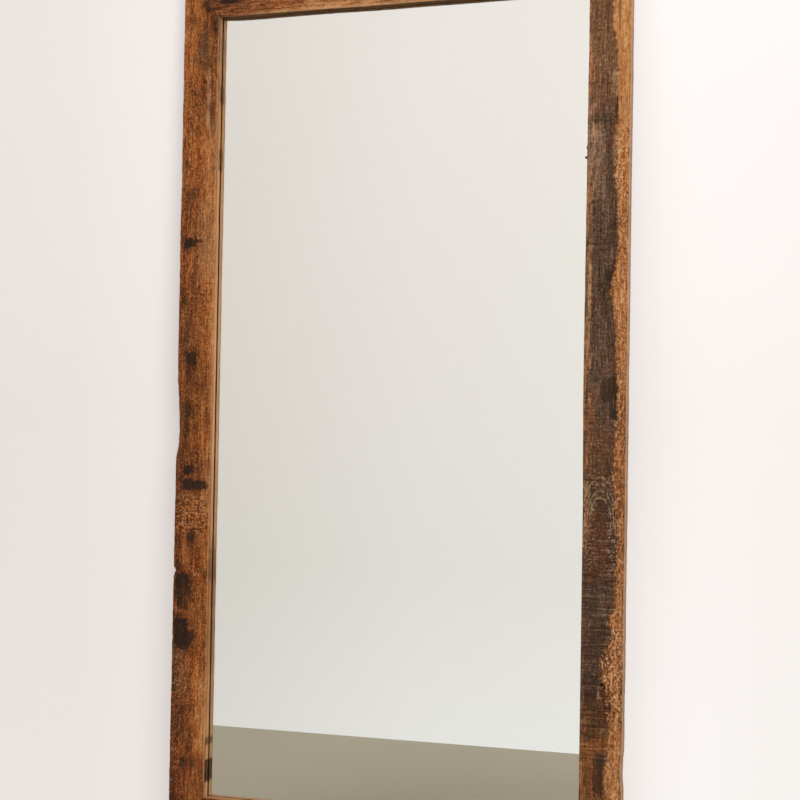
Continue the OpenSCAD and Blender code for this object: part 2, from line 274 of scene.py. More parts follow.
def flecks(along, inward, seed):
    """Short dark flecks and pores along the grain, from 0 to 1."""
    wander = inward + 1.5 * noise(inward / 9.0, along / 17.0, seed)
    small = noise(wander / 2.2, along / 6.5, seed + 1)
    large = noise(wander / 5.0, along / 15.0, seed + 2)
    return smooth(0.12, 0.75, 0.62 * small + 0.55 * large)


def scales(along, inward, seed):
    """Short wavy dashes across the grain, as on timber cut through wild grain."""
    wavy = along + 2.0 * noise(inward / 11.0, along / 14.0, seed)
    return noise(inward / 5.5, wavy / 2.6, seed + 1) + 0.4 * noise(inward / 2.4, wavy / 1.8, seed + 2)


def saw_lines(along, inward, seed):
    """Marks that an old saw left straight across the board."""
    tilted = along + 0.035 * inward + 0.5 * noise(inward / 26.0, along / 30.0, seed)
    broad = noise(inward / 60.0, tilted / 3.3, seed + 1) * 0.8
    return broad + noise(inward / 18.0, tilted / 5.0, seed + 2) * 0.4


NO_NAIL = 20  # farther from the nail hole than it reaches
EVEN_MASKS = {
    "patina": 0,  # the dark weathered wood's share
    "honey": 0,  # the honey wood's share
    "red": 0,  # the reddened wood's share
    "greyed": 0,
    "stain": 0,
    "pale": 0,
    "crumb": 0.15,  # light crumbs and dark pits
    "curl": 0,  # wild grain
    "sawn": 0,  # saw marks
    "grain": 1,
    "grit": 0.10,
    "loop": 0,  # arches of growth rings
    "loop_at": 0,
    "nail": NO_NAIL,  # distance from the nail hole
}


def all_masks(tone, **drawn):
    """A board's masks: how light its wood is, those drawn for it, and an even value for the rest."""
    masks = {"tone": tone}
    for mask, even in EVEN_MASKS.items():
        masks[mask] = drawn.get(mask, even) + np.zeros_like(tone)
    return masks


WILD_GRAIN = (600, 668)  # heights between which the left board's grain runs wild


def wild_grain(along, inward):
    """Where the left board's grain runs wild."""
    low_down = 0.7 * band(along, 290, 350, 26) * smooth(44, 24, inward)
    return np.maximum(band(along, *WILD_GRAIN, 14) * band(inward, 6, 66, 8), low_down)


def tone_left(along, inward, seed):
    """How light the left board's wood is, about 0."""
    tone = 0.26 * streaks(along, inward, seed) + 0.42 * layered(inward / 14.0, along / 34.0, seed + 40)
    tone += 0.34 * layered(inward / 4.0, along / 11.0, seed + 44)
    tone -= 0.22 * flecks(along, inward, seed + 46)
    tone += wild_grain(along, inward) * scales(along, inward, seed + 50) * 0.45
    figure = noise((inward + along * 0.55) / 3.4, (along - inward * 0.5) / 26.0, seed + 30)
    tone += band(along, 1330, 1500, 60) * figure * 0.45
    worn = 0.18 + 0.55 * band(along, 960, 1340, 70) + 0.3 * band(along, 190, 330, 40)
    tone += 0.10 + smooth(34, 70, inward) * worn
    tone -= smooth(34, 4, inward) * 0.55 * smooth(1330, 1200, along)
    tone -= 0.5 * band(along, 1460, 1700, 60) * smooth(26, 50, inward)
    tone -= 0.45 * band(along, 740, 1020, 60) * band(inward, 22, 60, 12)
    tone -= 0.12 * smooth(960, 860, along) * band(inward, 40, 74, 12)
    tone -= 0.30 * smooth(360, 250, along) * smooth(52, 30, inward)
    brushed = noise((inward - along * 0.8) / 2.2, (along + inward * 0.8) / 22.0, seed + 84)
    tone += 0.30 * brushed * np.maximum(band(along, 1290, 1480, 50), band(along, 190, 300, 40))
    tone += shading(along, inward, LEFT_SHADES)
    return tone - 0.9 * spots(along, inward, haloes(LEFT_STAINS), seed + 61)


def pale_left(along, inward, seed):
    """The left board's bleached patches and the worn corner beside its lip."""
    patchy = 0.62 + 0.55 * noise(inward / 2.2, along / 9, seed + 83)
    corner = smooth(FACE_W - 3.8, FACE_W - 1.4, inward + 1.2 * noise(0, along / 24, seed + 81))
    corner = 0.8 * corner * (0.7 + 0.3 * noise(0, along / 9, seed + 82))
    return np.maximum(spots(along, inward, LEFT_PALE, seed + 80) * patchy, corner)


def face_left(along, inward, seed):
    """The left board's masks: an orange-brown face with black nail stains."""
    wild = wild_grain(along, inward)
    off_crack = np.abs(inward - 34 - 0.9 * noise(0, along / 18, seed))
    crack = 0.8 * band(along, 1090, 1225, 20) * smooth(0.9, 0.3, off_crack)
    cloudy = 0.7 + 0.6 * layered(inward / 3.5, along / 11, seed + 71)
    wavy = np.maximum(band(along, 970, 1080, 40), band(along, 730, 810, 30) * smooth(30, 50, inward))
    wavy = np.maximum(wavy, band(along, 250, 360, 40) * smooth(60, 40, inward))
    return all_masks(
        tone_left(along, inward, seed),
        stain=np.maximum(spots(along, inward, LEFT_STAINS, seed + 60), crack),
        greyed=spots(along, inward, LEFT_GREYED, seed + 70) * cloudy,
        pale=pale_left(along, inward, seed),
        crumb=0.20 + 0.25 * wild + 0.30 * band(along, 110, 190, 20) * smooth(30, 10, inward),
        curl=np.maximum(wild, 0.35 * wavy) + 0.08,
        grit=0.11 + 0.04 * band(along, 1050, 1250, 60),
    )


LOOP_ACROSS = 44  # distance of the loops' middle from the outer edge
LOOP_HEIGHT = 636  # height of the loops' middle
LOOP_STEP = 4.7  # distance from one loop to the next
LOOP_SQUASH = 0.40  # a loop's width over its height


def loops(along, inward, seed):
    """Tall arches of growth rings: each point's distance from their middle, and their strength."""
    across = inward - LOOP_ACROSS
    up = (along - LOOP_HEIGHT) * LOOP_SQUASH
    radius = np.hypot(across, up) + 0.7 * noise(inward / 11.0, along / 17.0, seed)
    broken = smooth(-0.75, 0.35, noise(inward / 5.0, along / 7.0, seed + 2))
    return radius, broken * band(radius, 19, 36, 3) * smooth(-12, 4, up)


CRUMBLED = (300, 440)  # heights between which the right board's honey wood crumbles
TORN = (450, 900)  # and between which its edge is torn
PLANED = (1300, 1390)  # and over which it turns smooth


def honey_edge(along, inward, seed):
    """How far the right board's honey wood reaches in from the outer edge."""
    ragged = 1.4 * noise(0, along / 8.0, seed) + 1.8 * noise(inward / 5, along / 3.4, seed + 1)
    ragged = (1 + 0.8 * band(along, *TORN, 40)) * ragged
    crumbled = band(along, *CRUMBLED, 25) * 7.5 * noise(inward / 4.5, along / 6.0, seed + 2)
    return level_at(RIGHT_HONEY_EDGE, along) + ragged + crumbled


def sawn_right(along):
    """How clearly the old saw's marks show on the right board."""
    clear = np.maximum(band(along, 470, 590, 40), 0.8 * band(along, 210, 460, 30))
    faint = 0.5 * np.maximum(band(along, 1070, 1140, 30), band(along, 600, 840, 30))
    return np.maximum(0.25 + 0.75 * clear, faint)


def tone_right(along, inward, seed, edge, honey):
    """How light the right board's wood is, about 0."""
    upright = np.maximum(0.25 + 0.75 * smooth(860, 1160, along), 0.9 * honey)
    tone = 0.27 * upright * streaks(along, inward, seed + 10)
    tone += 0.28 * saw_lines(along, inward, seed + 20) * sawn_right(along) * (1 - honey)
    tone += 0.24 * layered(inward / 3.4, along / 10.0, seed + 44)
    tone += 0.22 * layered(inward / 9.0, along / 24.0, seed + 40)
    tone -= 0.20 * flecks(along, inward, seed + 46) * (1 + honey)
    tone += 0.45 * band(along, 1235, 1345, 30) * smooth(34, 56, inward)
    tone += 0.34 * smooth(1180, 1560, along) - 0.25 * band(along, 560, 760, 40) - 0.08
    tone -= 0.20 * band(inward - edge, 0, 12, 6)
    tone += shading(along, inward, RIGHT_SHADES)
    slanted = noise((inward + along * 0.5) / 2.4, (along - inward * 0.5) / 9.0, seed + 6)
    lumps = layered(inward / 4.5, along / 13.0, seed + 47) * (1 - 0.7 * smooth(*PLANED, along))
    scaly = smooth(-0.05, 0.45, layered(inward / 2.4, along / 4.6, seed + 5)) * band(along, *CRUMBLED, 25)
    bright = 0.25 + 0.40 * slanted + 0.55 * lumps - 0.9 * scaly
    bright = bright - 0.30 * smooth(1300, 1180, along) - 0.30 * smooth(940, 860, along)
    return tone + honey * (bright + 0.35 * smooth(470, 420, along))


def rubbed_right(along, inward, seed):
    """Where the right board is rubbed beside the opening."""
    ragged = 5.0 * noise(inward / 5.0, along / 26.0, seed + 35)
    ragged = ragged + 3.0 * noise(inward / 2.0, along / 9.0, seed + 37)
    rubbed = smooth(62, 72, inward + ragged)
    rubbed = rubbed * smooth(-0.6, 0.6, noise(inward / 2.0, along / 22.0, seed + 36))
    return rubbed * (1 - 0.75 * band(along, 300, 580, 30))


def pale_right(along, inward, seed, honey, rubbed):
    """The right board's bleached marks, its brightest saw marks and its rubbed edge."""
    patchy = 0.6 + 0.6 * noise(inward / 1.9, along / 5.0, seed + 83)
    dashes = smooth(0.1, 0.6, noise(inward / 5, along / 30, seed + 50)) * (1 - honey)
    dashes = 0.22 * dashes * smooth(0.55, 1.0, saw_lines(along, inward, seed + 20))
    cloudy = smooth(-0.4, 0.7, layered(inward / 3.4, along / 10.0, seed + 44))
    pale = np.maximum(spots(along, inward, RIGHT_PALE, seed + 80) * patchy, dashes)
    return np.maximum(pale, 0.42 * rubbed * cloudy)


def crumbs_right(along, inward, honey, rubbed):
    """How thickly light crumbs and dark pits lie on the right board."""
    flaky = band(along, 570, 720, 25) * np.maximum(band(inward, 56, 90, 8), band(inward, 0, 30, 6))
    crumbs = 0.42 - 0.3 * smooth(*PLANED, along) + 0.58 * band(along, *CRUMBLED, 25)
    crumbs = np.maximum(crumbs, 0.7 * band(along, 1235, 1350, 20))
    crumbs = np.maximum(crumbs, 0.7 * band(along, *TORN, 40))
    return np.where(honey > 0.5, crumbs, 0.12 + 0.55 * flaky + 0.3 * rubbed)


def stain_right(along, inward, seed, honey):
    """The right board's stains, its soiled honey wood and the dark lines scored across it."""
    soiled = 0.14 + 0.35 * band(along, *CRUMBLED, 25)
    soiled = soiled * smooth(0.1, 0.7, layered(inward / 3.0, along / 6.0, seed + 3)) * honey
    stain = np.maximum(spots(along, inward, RIGHT_STAINS, seed + 60) * (1 - 0.85 * honey), soiled)
    for height, strength in RIGHT_SCORES:
        wavy = 0.03 * inward + 0.6 * noise(inward / 12, 0, seed + height)
        line = smooth(1.9, 0.6, np.abs(along - height - wavy)) * smooth(20, 34, inward)
        stain = np.maximum(stain, line * strength)
    return stain


def face_right(along, inward, seed):
    """The right board's masks: a dark weathered face, worn to honey wood along its outer edge."""
    edge = honey_edge(along, inward, seed)
    honey = smooth(1.1, -1.1, inward - edge)
    dark = 1 - honey
    sawn = sawn_right(along) * dark
    planed = smooth(*PLANED, along) * honey
    rubbed = rubbed_right(along, inward, seed)
    loop_at, loop = loops(along, inward, seed + 30)
    off_nail = np.hypot(along - NAIL_HOLE[0], inward - NAIL_HOLE[1])
    return all_masks(
        tone_right(along, inward, seed, edge, honey) + 0.30 * rubbed,
        patina=np.clip(1 - 0.55 * rubbed, 0, 1) * dark,
        honey=honey,
        stain=stain_right(along, inward, seed, honey),
        pale=pale_right(along, inward, seed, honey, rubbed),
        red=spots(along, inward, RIGHT_REDDENED, seed + 90) * dark,
        sawn=sawn,
        loop=loop * dark,
        loop_at=loop_at,
        crumb=crumbs_right(along, inward, honey, rubbed),
        grain=1 - 0.55 * sawn - 0.45 * planed,
        grit=0.11 + 0.05 * honey - 0.10 * planed,
        nail=np.minimum(off_nail, NO_NAIL),
    )


def face_rail(along, inward, seed, marks, outer_edge):
    """A rail's masks: medium brown, darker towards its outer edge, which is at that height."""
    tone = 0.40 * streaks(along, inward, seed) + 0.34 * layered(inward / 12.0, along / 30.0, seed + 40)
    tone += 0.35 * smooth(44, 70, inward) + 0.34 * layered(inward / 4.2, along / 7.5, seed + 44)
    tone += shading(along, inward, RAIL_SHADES) - 0.6 * flecks(along, inward, seed + 46)
    turned = []
    for height, place, tall, wide, much in marks:
        turned.append((place, abs(height - outer_edge), wide, tall, much))
    cloudy = smooth(-0.1, 0.7, layered(inward / 16.0, along / 60.0, seed + 61))
    pale = 0.6 * smooth(FACE_W - 7, FACE_W - 2, inward + 2.0 * noise(0, along / 20.0, seed + 62))
    return all_masks(
        tone,
        patina=0.25 + 0.45 * cloudy * smooth(70, 30, inward),
        stain=spots(along, inward, turned, seed + 60),
        pale=pale * smooth(90, 240, along),
    )


def face_top(along, inward, seed):
    """The top rail's masks."""
    return face_rail(along, inward, seed, TOP_STAINS, TOP_RAIL_HIGH.z / MM)


def face_bottom(along, inward, seed):
    """The bottom rail's masks."""
    return face_rail(along, inward, seed, BOTTOM_STAINS, FRAME_FOOT)


PLAIN_BOARD = {
    "wane": [(0, 0)],
    "splinters": [],
    "swell": [(0, 0)],
    "dusty": 0.0,  # how much painted light lightens the outer side
    "lip_dirt": [],
    "lip_light": [(0, 1)],
    "lip_worn": 1.0,  # 0 paints the lip grey, a painted shade for a lip that faces down
}
LEFT_BOARD = {"seed": 101, "face": face_left, "wane": LEFT_WANE}
LEFT_BOARD |= {"lip_dirt": LEFT_LIP_DARK, "lip_light": LEFT_LIP_LIGHT}
RIGHT_BOARD = {"seed": 211, "face": face_right, "wane": RIGHT_WANE, "splinters": RIGHT_SPLINTERS}
# The right board's outer side is lightened with painted light, as if lit from the right.
RIGHT_BOARD |= {"swell": RIGHT_SWELL, "dusty": 0.42, "lip_dirt": RIGHT_LIP_DARK}
TOP_BOARD = {"seed": 307, "face": face_top, "swell": TOP_SWELL}
# The top rail's lip faces down: painted shade makes it grey and only faintly pale.
TOP_BOARD |= {"lip_light": [(0, 0.36)], "lip_worn": 0.0}
BOARDS = {
    "left_stile": PLAIN_BOARD | LEFT_BOARD,
    "right_stile": PLAIN_BOARD | RIGHT_BOARD,
    "top_rail": PLAIN_BOARD | TOP_BOARD,
    "bottom_rail": PLAIN_BOARD | {"seed": 401, "face": face_bottom},
}

# ---------------------------------------------------------------- board meshes

RING_STEP = 2.2  # distance between two rings of a board
FRONT_STEP = 1.6  # spacing across the front
ROUGH_STEP = 4.0  # spacing on the faces that no one sees closely
MITRE_ROUND = 0.9  # the small bevel that time gave both sides of a mitre
MITRE_CALM = 30  # edges are straight at a mitre and fully worn this far from it
CLOSE = 0.01  # two distances this near are the same


def run(start, end, step):
    """Evenly spaced values from start to just before end."""
    count = max(1, round(abs(end - start) / step))
    return np.linspace(start, end, count, endpoint=False)


def outline():
    """The board's sharp L-shaped outline: arrays of inward, deep, and the outward normal."""
    seat = FACE_W - REBATE_W
    stretches = [  # where each one ends, its spacing and the way out of the wood
        ((4, 0), 0.8, (0, -1)),
        ((FACE_W - 4, 0), FRONT_STEP, (0, -1)),
        ((FACE_W, 0), 0.8, (0, -1)),
        ((FACE_W, 4), 0.8, (1, 0)),
        ((FACE_W, LIP_T - 1), 1.8, (1, 0)),
        ((FACE_W, LIP_T), 0.3, (1, 0)),
        ((FACE_W - 1, LIP_T), 0.3, (0, 1)),
        ((seat, LIP_T), ROUGH_STEP, (0, 1)),
        ((seat, BOARD_T), ROUGH_STEP, (1, 0)),
        ((3, BOARD_T), ROUGH_STEP, (0, 1)),
        ((0, BOARD_T), 1.0, (0, 1)),
        ((0, BOARD_T - 3), 1.0, (-1, 0)),
        ((0, 4), 2.0, (-1, 0)),
        ((0, 0), 0.8, (-1, 0)),
    ]
    rows = []
    in_0, deep_0 = 0, 0
    for (in_1, deep_1), step, normal in stretches:
        length = abs(in_1 - in_0) + abs(deep_1 - deep_0)
        for share in run(0, 1, step / length):
            rows.append((in_0 + (in_1 - in_0) * share, deep_0 + (deep_1 - deep_0) * share, *normal))
        in_0, deep_0 = in_1, deep_1
    return np.array(rows).T


def round_corner(inward, deep, normal_in, normal_deep, corner, into, radius):
    """Rolls the outline over an arc of that radius at one corner; into points into the wood."""
    centre_in = corner[0] + into[0] * radius
    centre_deep = corner[1] + into[1] * radius
    off_in = inward - centre_in
    off_deep = deep - centre_deep
    here = (off_in * into[0] <= 0) & (off_deep * into[1] <= 0)
    reach = np.maximum(np.hypot(off_in, off_deep), 1e-9)
    inward[:] = np.where(here, centre_in + off_in / reach * radius, inward)
    deep[:] = np.where(here, centre_deep + off_deep / reach * radius, deep)
    normal_in[:] = np.where(here, off_in / reach, normal_in)
    normal_deep[:] = np.where(here, off_deep / reach, normal_deep)


def relief(name, masks, along, inward, seed):
    """How deep the front face is worn away, in millimetres."""
    grain = streaks(along, inward, seed)
    saw = saw_lines(along, inward, seed + 20)
    worn = 0.20 - 0.13 * grain - 0.10 * saw + 0.10 * layered(inward / 7.0, along / 12.0, seed + 5)
    worn = worn + 0.45 * (0.5 + 0.5 * noise(inward / 34.0, along / 190.0, seed + 6))
    worn = worn + 0.45 * masks["stain"] + 0.25 * masks["greyed"] - 0.25 * masks["pale"]
    if name == "left_stile":
        worn = worn - 0.35 * band(along, *WILD_GRAIN, 14) * scales(along, inward, seed + 50)
    if name == "right_stile":
        slope = masks["honey"] * (0.7 + 1.3 * smooth(26, 0, inward))
        worn = worn + slope + 0.35 * masks["honey"] * layered(inward / 4.0, along / 5.0, seed + 7)
        worn = worn + 3.0 * smooth(3.6, 1.6, masks["nail"])
    return np.maximum(worn, 0)


def rolled_corners(line, fade, seed):
    """Each corner of the outline: its place, the way into the wood and the radius worn on it."""
    chips = smooth(0.45, 0.95, noise(0, line / 11.0, seed + 8)) * 1.6
    outer = 1.3 + fade * (0.4 + 0.7 * noise(0, line / 37.0, seed + 9) + chips)
    inner = 1.1 + fade * (0.4 + 0.5 * noise(0, line / 29.0, seed + 10))
    back = 1.6 + 0.6 * noise(0, line / 41.0, seed + 11)
    return (
        ((0, 0), (1, 1), outer),
        ((FACE_W, 0), (-1, 1), inner),
        ((FACE_W, LIP_T), (-1, -1), 0.4),
        ((FACE_W - REBATE_W, BOARD_T), (-1, -1), 0.5),
        ((0, BOARD_T), (1, -1), back),
    )


def outer_edge_cut(name, spec, line, fade, sharp_in, sharp_deep, normal_in):
    """How far the outer edge is missing and its side is worn back."""
    seed = spec["seed"]
    wavy = 0.25 + 0.30 * noise(0, line / 60.0, seed + 12) + 0.25 * noise(0, line / 9.0, seed + 13)
    edge = level_at(spec["wane"], board_start(name) + line) + fade * wavy
    if name == "left_stile":  # what is missing here does not reach the board's back
        edge = edge * smooth(24, 5, sharp_deep)
    side_grain = 0.18 * noise(sharp_deep / 1.6, line / 70.0, seed + 14) * fade
    return edge * smooth(20, 0, sharp_in) + np.clip(-normal_in, 0, 1) ** 2 * (0.15 + side_grain)


def board_mesh(name, spec):
    """The points and masks of one weathered board, in its own coordinates."""
    seed = spec["seed"]
    length = board_length(name)
    sharp_in, sharp_deep, normal_in, normal_deep = (row[None, :] for row in outline())
    rings = max(2, round(length / RING_STEP)) + 1
    share = np.linspace(0, 1, rings)[:, None]
    along = sharp_in * (1 - 2 * share) + share * length
    inward = np.repeat(sharp_in, rings, 0)
    deep = np.repeat(sharp_deep, rings, 0)
    normal_in = np.repeat(normal_in, rings, 0)
    normal_deep = np.repeat(normal_deep, rings, 0)
    place = along + board_start(name)  # the same coordinate as the marks
    masks = spec["face"](place, inward, seed)
    front = worn_front(name, masks, place, inward, along, length, seed)
    line = length * share
    fade = smooth(0, MITRE_CALM, np.minimum(line, length - line))
    for corner, into, radius in rolled_corners(line, fade, seed):
        round_corner(inward, deep, normal_in, normal_deep, corner, into, radius)
    inward = inward + outer_edge_cut(name, spec, line, fade, sharp_in, sharp_deep, normal_in)
    inward = inward - inner_edge_cut(spec, place, sharp_in, sharp_deep) * fade
    deep = deep + np.clip(-normal_deep, 0, 1) ** 2 * front
    return along, inward, deep, dirty_sides(masks, place, sharp_in, sharp_deep, spec)


def worn_front(name, masks, place, inward, along, length, seed):
    """The front's relief with the rounding along both mitres added to it."""
    mitre = np.minimum(along - inward, length - inward - along)
    rounded = MITRE_ROUND * smooth(MITRE_ROUND * 2.2, 0, mitre)
    return relief(name, masks, place, inward, seed) * (0.6 + 0.4 * smooth(0, 8, mitre)) + rounded


def inner_edge_cut(spec, place, sharp_in, sharp_deep):
    """How far the lip's end face is worn back; splinters stand out from it."""
    seed = spec["seed"]
    on_lip = (sharp_in > FACE_W - CLOSE) & (sharp_deep < LIP_T - 0.5)
    rough = 0.25 + 0.22 * noise(sharp_deep / 1.5, place / 50.0, seed + 15)
    rough = rough + 0.22 * noise(sharp_deep / 3.0, place / 12.0, seed + 16)
    rough = rough - level_at(spec["swell"], place)
    for height, reach, half in spec["splinters"]:
        torn = smooth(half, 0, np.abs(place - height)) * smooth(5, 0, np.abs(sharp_deep - 2.5))
        rough = rough - reach * torn
    return np.where(on_lip, rough, 0)


def lip_dirt(place, deep, spec, rough):
    """Dark stretches along the lip's end face: from low to high, and deeper than a line."""
    lip_darkening = np.zeros_like(place)
    for low_end, high_end, line, strength in spec["lip_dirt"]:
        reach = band(place, low_end, high_end, 6) * smooth(-0.9, -0.1, rough) * (deep > line)
        lip_darkening = np.maximum(lip_darkening, strength * reach)
    return lip_darkening


def dirty_sides(masks, place, sharp_in, sharp_deep, spec):
    """The masks on the faces behind the front: greyer outside, with painted light on the right board's
    outer side; worn tan on the lip, or grey as painted shade where the lip faces down; plain behind.
    """
    deep = np.broadcast_to(sharp_deep, place.shape)
    across = np.broadcast_to(sharp_in, place.shape)
    inner = (across > FACE_W - CLOSE) & (deep <= LIP_T)
    outer = (across < CLOSE) & (deep > 1.5)
    behind = deep > LIP_T + CLOSE
    seat = (np.abs(deep - LIP_T) < CLOSE) & ~inner
    rough = layered(deep / 3.0, place / 26.0, spec["seed"] + 18)
    wrapped = masks["honey"] * smooth(19, 13, deep + 3 * rough)
    grey_side = (0.55 + 0.35 * rough) * (1 - wrapped)
    # Painted shade: a lip that faces down is painted grey.
    shaded_lip = 1.2 * (1 - spec["lip_worn"])
    pale_lip = (0.55 + 0.22 * rough + 0.4 * smooth(1, 8, deep)) * level_at(spec["lip_light"], place)
    lip_darkening = lip_dirt(place, deep, spec, rough)
    return masks | {
        "honey": np.select([outer, behind], [wrapped, 0], masks["honey"]),
        "patina": np.select([behind, inner], [0.35 + 0.3 * rough, 0], masks["patina"]),
        "greyed": np.select([outer, inner], [grey_side, shaded_lip], masks["greyed"]),
        "stain": np.select([behind, inner], [0.25 * smooth(0.2, 0.9, rough), lip_darkening], masks["stain"]),
        "pale": np.select([behind | outer, inner], [0, pale_lip], masks["pale"]),
        "crumb": np.where(inner | behind, 0.1, masks["crumb"]),
        "nail": np.where(behind, NO_NAIL, masks["nail"]),
        "seat": seat * 1.0,
        "bare": inner * smooth(0.5, 9, deep),
        # painted light on the outer side, as if lit from the right
        "dusty": outer * spec["dusty"] * smooth(2, 11, deep),
    }


def board_length(name):
    """The length of a board's outer edge."""
    low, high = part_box(name)
    return max(high.x - low.x, high.z - low.z) / MM


def board_start(name):
    """Where along the marks' coordinate a board begins: height for a stile, 0 for a rail."""
    return FRAME_FOOT if name.endswith("stile") else 0.0


LEFTWARD, RIGHTWARD = Vector((-1, 0, 0)), Vector((1, 0, 0))
DOWNWARD, UPWARD = Vector((0, 0, -1)), Vector((0, 0, 1))
BOARD_AXES = {  # the starting corner's end of the board's box in X and in Z, then along and inward
    "left_stile": (0, 0, UPWARD, RIGHTWARD),
    "right_stile": (1, 0, UPWARD, LEFTWARD),
    "top_rail": (0, 1, RIGHTWARD, DOWNWARD),
    "bottom_rail": (0, 0, RIGHTWARD, UPWARD),
}


def board_axes(name):
    """A board's starting corner and its along and inward directions, in the row frame."""
    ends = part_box(name)
    x_end, z_end, axis, across = BOARD_AXES[name]
    return Vector((ends[x_end].x, FRONT_Y, ends[z_end].z)), axis, across


def grid_faces(rows, columns, flipped):
    """Quads of a tube of rows rings with columns points each, and a cap on either end."""
    ring = np.arange(columns)
    following = (ring + 1) % columns
    faces = []
    for row in range(rows - 1):
        low = row * columns
        high = low + columns
        quads = np.stack([low + ring, low + following, high + following, high + ring], 1)
        faces.extend((quads[:, ::-1] if flipped else quads).tolist())
    first = ring.tolist()
    last = ((rows - 1) * columns + ring).tolist()
    faces.append(first if flipped else first[::-1])
    faces.append(last[::-1] if flipped else last)
    return faces


def make_object(name, points, faces, material):
    """A new mesh object with one material."""
    mesh = bpy.data.meshes.new(name)
    mesh.from_pydata(points, [], faces)
    mesh.update()
    mesh.materials.append(material)
    made = bpy.data.objects.new(name, mesh)
    bpy.context.scene.collection.objects.link(made)
    return made


def build_board(name, spec, material):
    """One weathered board as its own piece, in place of its CAD node."""
    along, inward, deep, masks = board_mesh(name, spec)
    origin, axis, across = board_axes(name)
    back = Vector((0, 1, 0))
    flat = [array.reshape(-1, 1) * MM for array in (along, inward, deep)]
    points = np.array(origin)
    for distance, direction in zip(flat, (axis, across, back)):
        points = points + distance * np.array(direction)
    flipped = axis.cross(across).dot(back) > 0
    made = make_object(name + "_timber", points.tolist(), grid_faces(*along.shape, flipped), material)
    made.data.shade_smooth()
    for mask, values in masks.items():
        layer = made.data.attributes.new(mask, "FLOAT", "POINT")
        layer.data.foreach_set("value", np.ascontiguousarray(values, np.float32).ravel())
    layer = made.data.attributes.new("board", "FLOAT_VECTOR", "POINT")
    own = np.concatenate([flat[1], flat[2], flat[0] + spec["seed"]], 1).astype(np.float32)
    layer.data.foreach_set("vector", own.ravel())
    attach(made, "frame")
    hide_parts(name)
    return made


# ---------------------------------------------------------------- materials


class Shader:
    """A short way to write a node material."""

    def __init__(self, name):
        self.material = bpy.data.materials.new(name)
        self.material.use_nodes = True
        self.tree = self.material.node_tree
        self.tree.nodes.clear()
        self.out = self.tree.nodes.new("ShaderNodeOutputMaterial").inputs["Surface"]
        self.surface = self.tree.nodes.new("ShaderNodeBsdfPrincipled")
        self.plug(self.surface.outputs["BSDF"], self.out)

    def plug(self, value, target):
        """Joins a socket to an input, or gives the input a plain number or colour."""
        if isinstance(value, bpy.types.NodeSocket):
            self.tree.links.new(value, target)
        else:
            target.default_value = value

    def put(self, **values):
        """What the Principled node gets, with _ for the spaces in an input's name."""
        for key, value in values.items():
            self.plug(value, self.surface.inputs[key.replace("_", " ")])

    def node(self, kind, output, inputs=(), **settings):
        """One output of a new node. The inputs are (name or number, value or socket)."""
        node = self.tree.nodes.new("ShaderNode" + kind)
        for key, value in settings.items():
            setattr(node, key, value)
        for key, value in inputs:
            self.plug(value, node.inputs[key])
        return node.outputs[output]

    def attribute(self, name, output="Fac"):
        return self.node("Attribute", output, attribute_name=name)

    def place(self):
        """The point in the row frame, in metres."""
        return self.node("TexCoord", "Object")

    def noise(self, vector, scale, detail=3.0, roughness=0.55, distortion=0.0):
        """Noise from 0 to 1. A scale may be a pair: the first for X and Y, the second for Z."""
        if isinstance(scale, tuple):
            across, along = scale
            stretched = (("Vector", vector), ("Scale", (across, across, along)))
            vector = self.node("Mapping", "Vector", stretched)
            scale = 1.0
        shape = (("Detail", detail), ("Roughness", roughness), ("Distortion", distortion))
        return self.node("TexNoise", "Fac", (("Vector", vector), ("Scale", scale), *shape))

    def math(self, kind, first, second=0.0):
        return self.node("Math", 0, ((0, first), (1, second)), operation=kind)

    def times(self, first, second):
        return self.math("MULTIPLY", first, second)

    def plus(self, first, second):
        return self.math("ADD", first, second)

    def blend(self, *parts):
        """The sum of some shares, each (share, weight)."""
        total = self.times(*parts[0])
        for share, weight in parts[1:]:
            total = self.plus(total, self.times(share, weight))
        return total

    def ramp(self, share, *stops):
        """A colour ramp; each stop is (place, colour)."""
        node = self.tree.nodes.new("ShaderNodeValToRGB")
        self.plug(share, node.inputs["Fac"])
        points = node.color_ramp.elements
        while len(points) < len(stops):
            points.new(0.5)
        for point, (place, colour) in zip(points, stops):
            point.position = place
            point.color = (*colour, 1)
        return node.outputs["Color"]

    def level(self, share, low, high):
        """Maps a share to a value between low and high."""
        return self.node("MapRange", "Result", (("Value", share), ("To Min", low), ("To Max", high)))

    def contrast(self, share, low, high):
        """0 at low, 1 at high, clamped."""
        return self.node("MapRange", "Result", (("Value", share), ("From Min", low), ("From Max", high)))

    def across(self, axis, low, high):
        """0 where the point's X, Y or Z in the row frame is low and 1 where it is high, clamped."""
        return self.contrast(self.node("SeparateXYZ", axis, [("Vector", self.place())]), low, high)

    def mix(self, share, first, second, kind="MIX"):
        """Two colours mixed; the numbers are the colour inputs and output of the Mix node."""
        inputs = ((0, share), (6, first), (7, second))
        return self.node("Mix", 2, inputs, data_type="RGBA", blend_type=kind)

    def bump(self, height, distance):
        """Bump of that depth in metres."""
        self.put(Normal=self.node("Bump", "Normal", (("Height", height), ("Distance", distance))))


